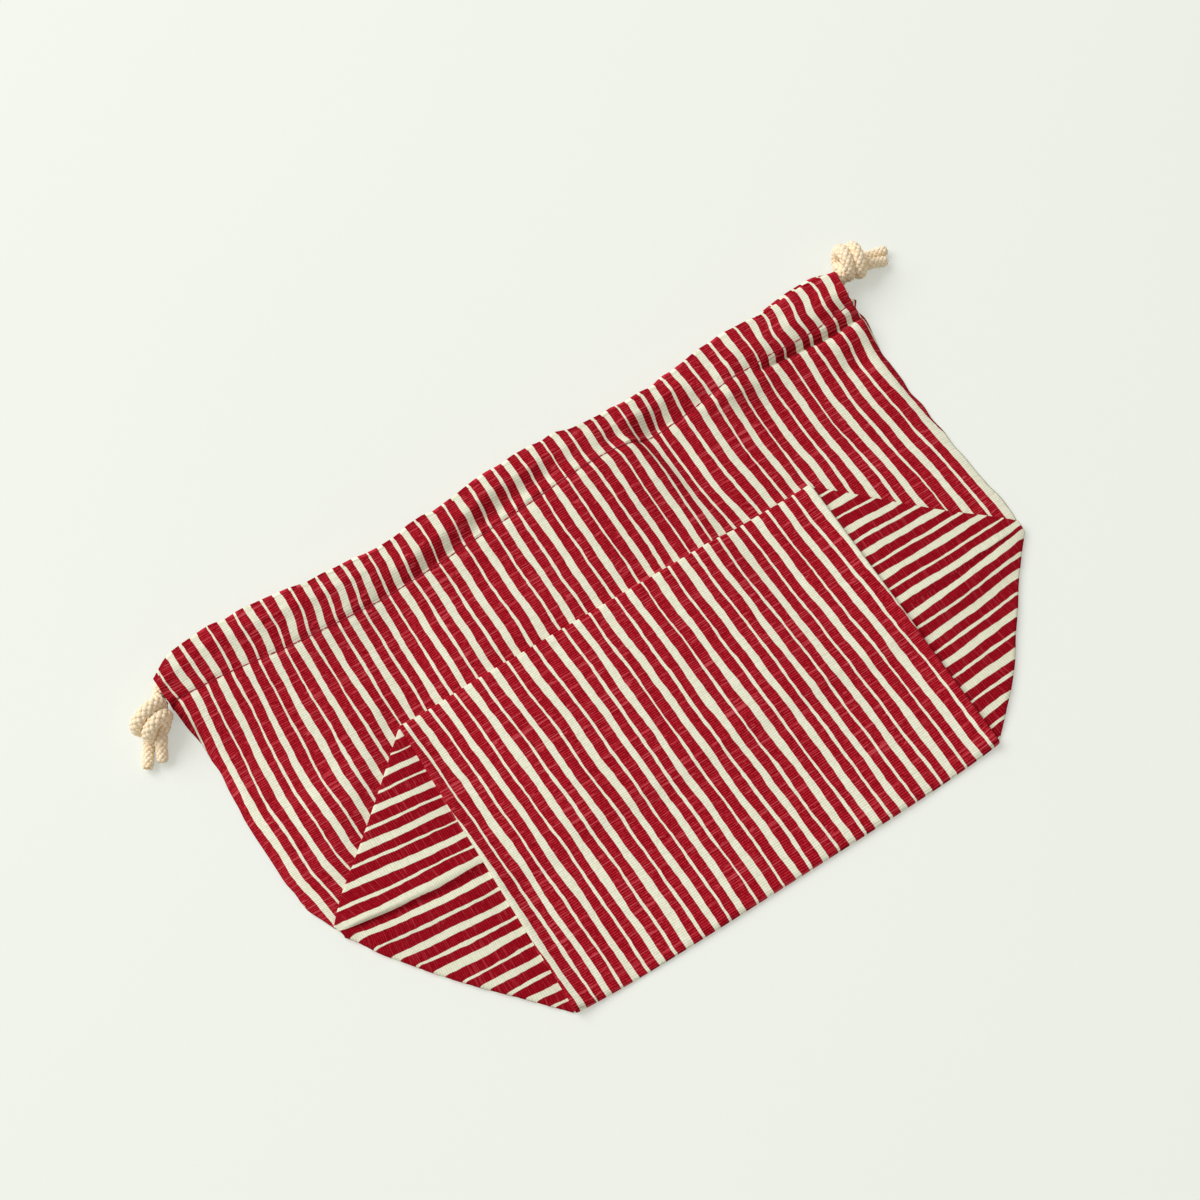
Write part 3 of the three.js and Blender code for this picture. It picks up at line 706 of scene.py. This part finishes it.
def stitch_nodes(material):
    """A node group that sews short threads along a line."""
    tree = bpy.data.node_groups.new("running_stitch", "GeometryNodeTree")
    sheet = Sheet(tree)
    tree.interface.new_socket("Line", in_out="INPUT", socket_type="NodeSocketGeometry")
    for name in ("Spacing", "Stitch", "Thread"):
        tree.interface.new_socket(name, in_out="INPUT", socket_type="NodeSocketFloat")
    tree.interface.new_socket("Seed", in_out="INPUT", socket_type="NodeSocketInt")
    tree.interface.new_socket("Stitches", in_out="OUTPUT", socket_type="NodeSocketGeometry")
    given = sheet.put("NodeGroupInput").outputs
    curve = sheet.put("GeometryNodeMeshToCurve", {"Mesh": given["Line"]})
    points = sheet.put(
        "GeometryNodeCurveToPoints", {"Curve": curve.outputs[0], "Length": given["Spacing"]}, mode="LENGTH")
    bead = sheet.put("GeometryNodeMeshUVSphere", {"Segments": 8, "Rings": 6, "Radius": 1.0})
    size = sheet.put(
        "ShaderNodeCombineXYZ", {"X": given["Thread"], "Y": given["Thread"], "Z": given["Stitch"]})
    thread = sheet.put("GeometryNodeTransform", {"Geometry": bead.outputs[0], "Scale": size.outputs[0]})
    uneven_size = sheet.put("FunctionNodeRandomValue", {"Seed": given["Seed"]}, data_type="FLOAT_VECTOR")
    uneven_size.inputs["Min"].default_value = (0.85, 0.85, 0.8)
    uneven_size.inputs["Max"].default_value = (1.15, 1.15, 1.1)
    sewn = sheet.put("GeometryNodeInstanceOnPoints", {
        "Points": points.outputs["Points"], "Instance": thread.outputs[0],
        "Rotation": points.outputs["Rotation"], "Scale": uneven_size.outputs[0]})
    real = sheet.put("GeometryNodeRealizeInstances", {0: sewn.outputs[0]})
    coloured = sheet.put("GeometryNodeSetMaterial", {"Geometry": real.outputs[0], "Material": material})
    sheet.put("NodeGroupOutput", {0: coloured.outputs[0]})
    return tree


def make_stitching(style):
    """The running stitches that close the two casings."""
    cloth = Cloth(style)
    material = sewing_thread(style)
    tree = stitch_nodes(material)
    over = style.cloth / 2 + 0.05 * MM
    lines = {
        "front_casing_stitch": cloth.stitch_line("front_casing", -1, over),
        "back_casing_stitch": cloth.stitch_line("back_panel", -1, -over),
    }
    for name, line in lines.items():
        mesh = bpy.data.meshes.new(name + "_line")
        mesh.from_pydata([tuple(p) for p in line], [(i, i + 1) for i in range(len(line) - 1)], [])
        guide = bpy.data.objects.new(name + "_line", mesh)
        show(guide)
        sewing = guide.modifiers.new("sewing", "NODES")
        sewing.node_group = tree
        values = {"Spacing": style.stitch_spacing, "Stitch": style.stitch_length / 2,
                  "Thread": style.thread_radius, "Seed": 7}
        for item in tree.interface.items_tree:
            if item.name in values:
                sewing[item.identifier] = values[item.name]
        ready = guide.evaluated_get(bpy.context.evaluated_depsgraph_get())
        sewn = bpy.data.meshes.new_from_object(ready)
        bpy.data.objects.remove(guide)
        sewn.name = name
        sewn.shade_smooth()
        piece = bpy.data.objects.new(name, sewn)
        show(piece)
        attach(piece, "root")


def soft_route(points, step):
    """Points close together on a soft curve through a few points."""
    points = np.array(points, float)
    lengths = np.linalg.norm(np.diff(points, axis=0), axis=1)
    places = np.concatenate([[0.0], np.cumsum(lengths)])
    at = np.linspace(0, places[-1], max(2, round(places[-1] / step) + 1))
    return np.stack([soft_curve(places, points[:, k], at) for k in range(3)], -1)


def moving_frame(line):
    """Directions along a line and two across it, which turn no more than they must."""
    along = np.gradient(line, axis=0)
    along /= np.linalg.norm(along, axis=1, keepdims=True)
    across = np.zeros_like(line)
    start = np.array([0.0, 0.0, 1.0]) if abs(along[0, 2]) < 0.9 else np.array([1.0, 0.0, 0.0])
    for i, direction in enumerate(along):
        start = start - direction * (start @ direction)
        start = start / np.linalg.norm(start)
        across[i] = start
    return along, across, np.cross(along, across)


class Yarns:
    """Tubes gathered into one mesh, with each point's depth in its cord, from 0 to 1."""

    def __init__(self):
        self.verts, self.faces, self.depth = [], [], []

    def tube(self, line, first, second, sides, depth):
        """A closed tube round a line, with its two half widths given as vectors for each point."""
        angle = np.linspace(0, math.tau, sides, endpoint=False)[None, :, None]
        rings = line[:, None] + first[:, None] * np.cos(angle) + second[:, None] * np.sin(angle)
        base = sum(len(v) for v in self.verts)
        ids = base + np.arange(len(line) * sides).reshape(len(line), sides)
        around = np.roll(ids, -1, axis=1)
        quads = np.stack([ids[:-1], around[:-1], around[1:], ids[1:]], -1).reshape(-1, 4)
        self.faces.extend(quads.tolist())
        self.faces.extend([ids[0, ::-1].tolist(), ids[-1].tolist()])
        self.verts.append(rings.reshape(-1, 3))
        self.depth.append(np.broadcast_to(depth, rings.shape[:2]).reshape(-1))

    def braid(self, line, size, style):
        """A round braid along a line: strands that wind both ways, each over one and under the next."""
        along, across, up = moving_frame(line)
        steps_along = np.linalg.norm(np.diff(line, axis=0), axis=1)
        run = np.concatenate([[0.0], np.cumsum(steps_along)])
        ends = np.minimum(run, run[-1] - run)
        size = size * (0.82 + 0.18 * soft(ends / (1.2 * MM)))
        count = style.braid_strands
        twist = math.pi / (count * style.braid_stitch)
        middle, wave = STRAND_MIDDLE * CORD / 2, STRAND_WAVE * CORD / 2
        for way in (1, -1):
            radius = (middle + way * wave * np.cos(count * twist * run)) * size
            for k in range(count):
                angle = way * twist * run + math.tau * k / count
                out = across * np.cos(angle)[:, None] + up * np.sin(angle)[:, None]
                strand = line + out * radius[:, None]
                direction = np.gradient(strand, axis=0)
                sideways = np.cross(direction, out)
                sideways /= np.linalg.norm(sideways, axis=1, keepdims=True)
                thick = STRAND_THICK * CORD / 2 * size[:, None]
                wide = STRAND_WIDE * CORD / 2 * size[:, None]
                # Depth for the painted shade between strands: lowest on a strand's inner side, where it
                # passes under, and on the core
                depth = 0.5 + 0.5 * np.cos(np.linspace(0, math.tau, 6, endpoint=False))
                high = (0.35 + 0.65 * (0.5 + 0.5 * way * np.cos(count * twist * run)))[:, None]
                self.tube(strand, out * thick, sideways * wide, 6, depth[None, :] * high)
        core = CORE_SHARE * CORD / 2 * size[:, None]
        self.tube(line, across * core, up * core, 8, 0.0)


def wave_at(x):
    """How far the mouth edge lies from straight, at a place across the cloth."""
    return float(through(MOUTH_WAVE, np.array([x]))[0])


def knot_end(side, lie, strand, height):
    """Points of one end of a drawcord, from its casing through the knot to its tail."""

    def from_corner(point, z):
        return np.array([side * HALF + point[0] * MM, MIDDLE_Y + point[1] * MM, z])

    centre = from_corner(lie["knot"], KNOT_HEIGHT)
    axis = np.array([*lie["wraps"], 0.0])
    across = np.array([-axis[1], axis[0], 0.0])
    up = np.array([0.0, 0.0, 1.0])
    way_out = []
    for i, point in enumerate(lie["way_out"]):
        z = height + (KNOT_HEIGHT - height) * (i + 1) / 3
        way_out.append(from_corner(point, z + strand * 0.4 * MM))
    wrap = []
    for i in range(WRAP_STEPS):
        turn = i / WRAP_STEPS
        angle = math.tau * (WRAP_TURNS * (turn - 0.5) + 0.25)
        from_end = min(i, WRAP_STEPS - i)
        radius = WRAP_RADIUS * min(1.0, 0.45 + 0.25 * from_end) * (1 + strand * lie["bulge"])
        travel = strand * WRAP_GAP + (turn - 0.5) * WRAP_TRAVEL
        wrap.append(centre + axis * travel + (across * math.cos(angle) + up * math.sin(angle)) * radius)
    tails = [from_corner(point, TAIL_HEIGHT) for point in lie["tails"]]
    tail, other = tails if strand < 0 else tails[::-1]
    apart = (tail - other) / np.linalg.norm(tail - other)
    toward = (tail - centre) * np.array([1.0, 1.0, 0.0])
    toward /= np.linalg.norm(toward)
    start = centre + toward * TAIL_START + apart * TAIL_APART - up * (TAIL_DROP - TAIL_STEP * strand)
    return [*way_out, *wrap, start, tail]


def make_drawcord(style, material, name, side, lane, lie):
    """A drawcord that runs from its knot round both casings and back to its knot."""
    far = -side * (HALF - TURN_ROOM)
    middle, radius = (FRONT_TUNNEL + BACK_TUNNEL) / 2, (FRONT_TUNNEL - BACK_TUNNEL) / 2
    near = side * (HALF - NEAR_END)

    def run(height):
        stops = np.linspace(near, far + side * CORD, RUN_STOPS)
        return [np.array([x, MIDDLE_Y + lane + wave_at(x), height]) for x in stops]

    turn = []
    for angle in np.linspace(math.pi / 2, -math.pi / 2, TURN_STOPS):
        x = far - side * radius * math.cos(angle)
        turn.append(np.array([x, MIDDLE_Y + lane + wave_at(far), middle + radius * math.sin(angle)]))
    there = [*knot_end(side, lie, -1, FRONT_TUNNEL)[::-1], *run(FRONT_TUNNEL), *turn]
    back = [*run(BACK_TUNNEL)[::-1], *knot_end(side, lie, 1, BACK_TUNNEL)]
    route = soft_route([*there, *back], ROUTE_STEP)

    # Braided as far as it shows, and plain where the casings hide it
    yarns = Yarns()
    centre = np.array([side * HALF + lie["knot"][0] * MM, MIDDLE_Y + lie["knot"][1] * MM, KNOT_HEIGHT])
    inside_knot = KNOT_REACH - np.linalg.norm(route - centre, axis=1)
    size = LOOSE_SIZE + KNOT_SWELL * soft(inside_knot / (3 * MM))
    hidden = np.flatnonzero(side * route[:, 0] < HALF - BRAID_START)
    for end in (slice(0, hidden[0]), slice(hidden[-1] + 1, None)):
        yarns.braid(route[end], size[end], style)
    inside = route[hidden[0] - 3 : hidden[-1] + 4 : 9]
    _, across, up = moving_frame(inside)
    plain = PLAIN_SHARE * CORD / 2
    yarns.tube(inside, across * plain, up * plain, 10, 0.6)

    piece = new_object(name, np.concatenate(yarns.verts), yarns.faces, material)
    depth = piece.data.attributes.new("depth", "FLOAT", "POINT")
    depth.data.foreach_set("value", np.concatenate(yarns.depth).astype(np.float32))
    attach(piece, "root")
    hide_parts(name.replace("braided_", ""))


def make_drawcords(style):
    """The two drawcords, one knotted at each side of the mouth."""
    material = braided_cotton(style)
    make_drawcord(style, material, "braided_left_drawcord", -1, LOWER_LANE, LEFT_LIE)
    make_drawcord(style, material, "braided_right_drawcord", 1, UPPER_LANE, RIGHT_LIE)


def number_value(name, description, default, **more):
    return bpy.props.FloatProperty(name=name, description=description, default=default, **more)


def length_value(name, description, default):
    return number_value(name, description, default, unit="LENGTH", precision=5)


def colour_value(name, description, hex_colour):
    return bpy.props.FloatVectorProperty(
        name=name, description=description, default=linear(hex_colour), subtype="COLOR", size=3)


class PouchClothSettings(bpy.types.PropertyGroup):
    """Sizes and colours of the cloth and its stitches"""

    cloth: length_value("Cloth", "Thickness of the cloth", 0.5 * MM)
    cut_length: length_value("Cut Length", "Length of the cloth before it is folded", 546 * MM)
    casing: length_value("Casing", "Mouth edge to casing stitch", 19.8 * MM)
    rib: length_value("Rib", "Distance between two ribs of the weave", 0.84 * MM)
    stripe_pitch: length_value("Stripe Pitch", "Distance between two wide stripes", 11.25 * MM)
    stripe_shift: length_value("Stripe Shift", "Place of the middle stripe at the mouth", -4.4 * MM)
    stripe_lean: number_value("Stripe Lean", "How far the stripes lean across for each length along", 0.0155)
    wide_stripe: length_value("Wide Stripe", "Width of a wide cream stripe", 2.75 * MM)
    narrow_stripe: length_value("Narrow Stripe", "Width of a narrow cream stripe", 1.05 * MM)
    stitch_spacing: length_value("Stitch Spacing", "Distance between two stitches", 2.7 * MM)
    stitch_length: length_value("Stitch Length", "Length of a stitch", 3.1 * MM)
    thread_radius: length_value("Thread Radius", "Radius of the sewing thread", 0.25 * MM)
    dye: colour_value("Dye", "Crimson of the dyed bands", "980B1A")
    # Dark dye serves the random mottling and also the painted shade on the corner triangles
    dye_dark_and_shade: colour_value("Dark Dye", "Crimson in the hollows of the weave", "800414")
    # Pale dye serves the pale yarns and also the painted highlight on the rib tops
    dye_pale_and_highlight: colour_value("Pale Dye", "Crimson of the pale yarns", "BE2C37")
    dye_slub: colour_value("Slub Dye", "Crimson of thick yarns", "CA4C54")
    cream: colour_value("Cream", "Colour of the stripes", "F3F2DD")
    # Dark cream is painted shade in the rib hollows and on the corner triangles, mixed with the yarns'
    # uneven tone
    cream_dark_and_shade: colour_value("Dark Cream", "Cream in the hollows of the weave", "DBD9BD")
    thread: colour_value("Thread", "Colour of the sewing thread", "B8263A")
    thread_dark: colour_value("Dark Thread", "Sewing thread in its twist", "98142A")


class PouchCordSettings(bpy.types.PropertyGroup):
    """The braid and colours of the drawcords"""

    braid_strands: bpy.props.IntProperty(
        name="Strands", description="Strands of the braid that wind each way", default=6, min=2)
    braid_stitch: length_value("Braid Stitch", "Length of one stitch of the braid", 1.1 * MM)
    ecru: colour_value("Ecru", "Colour of the cord", "FFF2DA")
    ecru_dark: colour_value("Dark Ecru", "Darker yarn of the cord", "FCE6C4")
    # Painted shade between the strands
    ecru_painted_shade: colour_value("Ecru Painted Shade", "Colour between the strands", "EECF9C")


class PouchStageSettings(bpy.types.PropertyGroup):
    """Camera, light and floor"""

    target: bpy.props.FloatVectorProperty(
        name="Target", description="Point on the table that the camera looks at",
        default=(-1.56 * MM, 29.09 * MM, 0.0), subtype="TRANSLATION", size=3)
    distance: length_value("Distance", "Camera to target", 709.1 * MM)
    tilt: number_value("Tilt", "Camera's angle from straight down", math.radians(21.65), subtype="ANGLE")
    heading: number_value(
        "Heading", "The way the camera looks along the table", math.radians(57.68), subtype="ANGLE")
    lens: number_value("Lens", "Focal length in millimetres", 57.0)
    floor: colour_value("Floor", "Colour of the table", "F0F3EB")
    paleness: number_value(
        "Paleness", "How far the table shows its own colour through the shadows", 0.45, subtype="FACTOR")
    key: number_value("Key", "Power of the window light", 146.0, unit="POWER")
    sky: number_value("Sky", "Strength of the light from all round", 0.42)


def make_stage(stage):
    """The table, the light and the camera."""
    material, sheet, shader = surface("pale_table", 0.85, 0.1)
    grain = sheet.lumps(sheet.put("ShaderNodeTexCoord").outputs["Object"], (3, 3, 3), (0.0, 0.0, 0.0), 1.0)
    darker = rgba([0.985 * c for c in stage.floor])
    colour = sheet.mix(sheet.ramp(grain, 0.3, 0.7), darker, rgba(stage.floor))
    sheet.feed(shader.inputs["Base Color"], colour)
    glow = sheet.put("ShaderNodeEmission", {"Color": rgba(stage.floor)})
    seen = sheet.put("ShaderNodeLightPath").outputs["Is Camera Ray"]
    pale = sheet.put("ShaderNodeMixShader", {
        0: sheet.maths("MULTIPLY", seen, stage.paleness), 1: shader.outputs[0], 2: glow.outputs[0]})
    sheet.feed(sheet.tree.get_output_node("ALL").inputs["Surface"], pale.outputs[0])
    corners = [(TABLE_HALF * x, TABLE_HALF * y, 0.0) for x, y in ((-1, -1), (1, -1), (1, 1), (-1, 1))]
    floor = new_object("table_top", corners, [(0, 1, 2, 3)], material)

    world = bpy.data.worlds.new("soft_room")
    world.use_nodes = True
    room = Sheet(world.node_tree)
    light = room.put("ShaderNodeBackground", {"Color": rgba(ROOM_COLOUR), "Strength": stage.sky})
    room.put("ShaderNodeOutputWorld", {"Surface": light.outputs[0]})
    bpy.context.scene.world = world

    lamp = bpy.data.lights.new("window", "AREA")
    lamp.energy = stage.key
    lamp.color = WINDOW_COLOUR
    lamp.shape = "RECTANGLE"
    lamp.size, lamp.size_y = WINDOW_WIDTH, WINDOW_HEIGHT
    window = bpy.data.objects.new("window", lamp)
    window.location = WINDOW_PLACE
    window.rotation_mode = "QUATERNION"
    window.rotation_quaternion = (-Vector(window.location)).to_track_quat("-Z", "Y")
    show(window)

    lens = bpy.data.cameras.new("camera")
    lens.sensor_width = 36.0
    lens.lens = stage.lens
    lens.clip_start = 0.01
    camera = bpy.data.objects.new("camera", lens)
    looking = Vector((
        math.sin(stage.tilt) * math.cos(stage.heading),
        math.sin(stage.tilt) * math.sin(stage.heading),
        -math.cos(stage.tilt),
    ))
    camera.location = Vector(stage.target) - stage.distance * looking
    camera.rotation_mode = "QUATERNION"
    camera.rotation_quaternion = looking.to_track_quat("-Z", "Y")
    show(camera)
    bpy.context.scene.camera = camera
    bpy.context.scene.view_settings.view_transform = "Standard"


class POUCH_OT_stage(bpy.types.Operator):
    """Make the table, the light and the camera"""

    bl_idname = "pouch.stage"
    bl_label = "Stage"

    def execute(self, context):
        make_stage(context.scene.pouch_stage)
        return {"FINISHED"}


class POUCH_OT_drawcords(bpy.types.Operator):
    """Make the two knotted drawcords"""

    bl_idname = "pouch.drawcords"
    bl_label = "Drawcords"

    def execute(self, context):
        make_drawcords(context.scene.pouch_cord)
        return {"FINISHED"}


class POUCH_OT_cloth(bpy.types.Operator):
    """Make the folded cloth"""

    bl_idname = "pouch.cloth"
    bl_label = "Cloth"

    def execute(self, context):
        make_cloth(context.scene.pouch_cloth)
        return {"FINISHED"}


class POUCH_OT_stitching(bpy.types.Operator):
    """Sew the two casings"""

    bl_idname = "pouch.stitching"
    bl_label = "Stitching"

    def execute(self, context):
        make_stitching(context.scene.pouch_cloth)
        return {"FINISHED"}


class POUCH_PT_panel(bpy.types.Panel):
    """Settings and steps of the pouch"""

    bl_idname = "POUCH_PT_panel"
    bl_label = "Lunch Pouch"
    bl_space_type = "VIEW_3D"
    bl_region_type = "UI"
    bl_category = "Pouch"

    def draw(self, context):
        for name in SETTINGS:
            box = self.layout.box()
            values = getattr(context.scene, name)
            for key in values.__annotations__:
                box.prop(values, key)
        for operator in OPERATORS:
            self.layout.operator(operator.bl_idname)


SETTINGS = {
    "pouch_cloth": PouchClothSettings,
    "pouch_cord": PouchCordSettings,
    "pouch_stage": PouchStageSettings,
}
OPERATORS = (POUCH_OT_stage, POUCH_OT_drawcords, POUCH_OT_cloth, POUCH_OT_stitching)
CLASSES = (*SETTINGS.values(), *OPERATORS, POUCH_PT_panel)


def register():
    for cls in CLASSES:
        bpy.utils.register_class(cls)
    for name, settings in SETTINGS.items():
        setattr(bpy.types.Scene, name, bpy.props.PointerProperty(type=settings))


def unregister():
    for name in SETTINGS:
        delattr(bpy.types.Scene, name)
    for cls in reversed(CLASSES):
        bpy.utils.unregister_class(cls)


def main():
    register()
    bpy.ops.pouch.stage()
    bpy.ops.pouch.drawcords()
    bpy.ops.pouch.cloth()
    bpy.ops.pouch.stitching()


if __name__ == "__main__":
    main()
